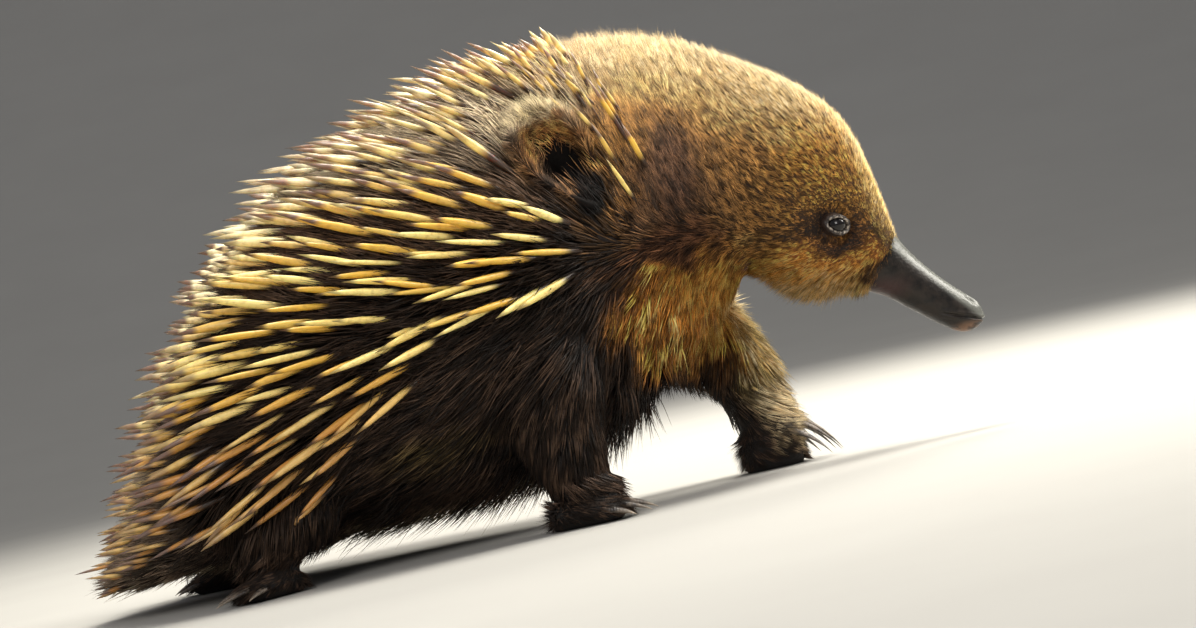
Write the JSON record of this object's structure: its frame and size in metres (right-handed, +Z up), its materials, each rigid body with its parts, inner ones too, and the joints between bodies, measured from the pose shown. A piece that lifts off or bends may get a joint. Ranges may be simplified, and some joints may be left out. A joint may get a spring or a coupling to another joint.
{
  "type": "short-beaked echidna",
  "caption": "Life-size standing echidna with a long slender beak, a low domed body covered in spines, cupped ears and long digging claws.",
  "frame": {"origin": "on the floor under the middle of the animal's bounding box, spines and claws included", "axes": "+X towards the beak, +Y to the animal's left, +Z up"},
  "size_m": [0.3945, 0.212, 0.2036],
  "materials": {
    "spines": "satin",
    "brown_fur": "soft fur",
    "dark_fur": "coarse fur",
    "beak_skin": "smooth, slightly glossy",
    "horn": "worn satin",
    "eye": "wet gloss"
  },
  "bodies": {
    "root": {"beak": "beak_skin", "ear_left": "brown_fur", "ear_right": "brown_fur", "eye_left": "eye", "eye_right": "eye", "forefoot_left": "dark_fur", "forefoot_left_claw_1": "horn", "forefoot_left_claw_2": "horn", "forefoot_left_claw_3": "horn", "forefoot_left_claw_4": "horn", "forefoot_left_claw_5": "horn", "forefoot_right": "dark_fur", "forefoot_right_claw_1": "horn", "forefoot_right_claw_2": "horn", "forefoot_right_claw_3": "horn", "forefoot_right_claw_4": "horn", "forefoot_right_claw_5": "horn", "foreleg_left": "dark_fur", "foreleg_right": "dark_fur", "head": "brown_fur", "hindfoot_left": "dark_fur", "hindfoot_left_claw_1": "horn", "hindfoot_left_claw_2": "horn", "hindfoot_left_claw_3": "horn", "hindfoot_left_claw_4": "horn", "hindfoot_left_claw_5": "horn", "hindfoot_right": "dark_fur", "hindfoot_right_claw_1": "horn", "hindfoot_right_claw_2": "horn", "hindfoot_right_claw_3": "horn", "hindfoot_right_claw_4": "horn", "hindfoot_right_claw_5": "horn", "hindleg_left": "dark_fur", "hindleg_right": "dark_fur", "neck": "spines", "tail": "spines", "torso": "spines"}
  },
  "joints": []
}
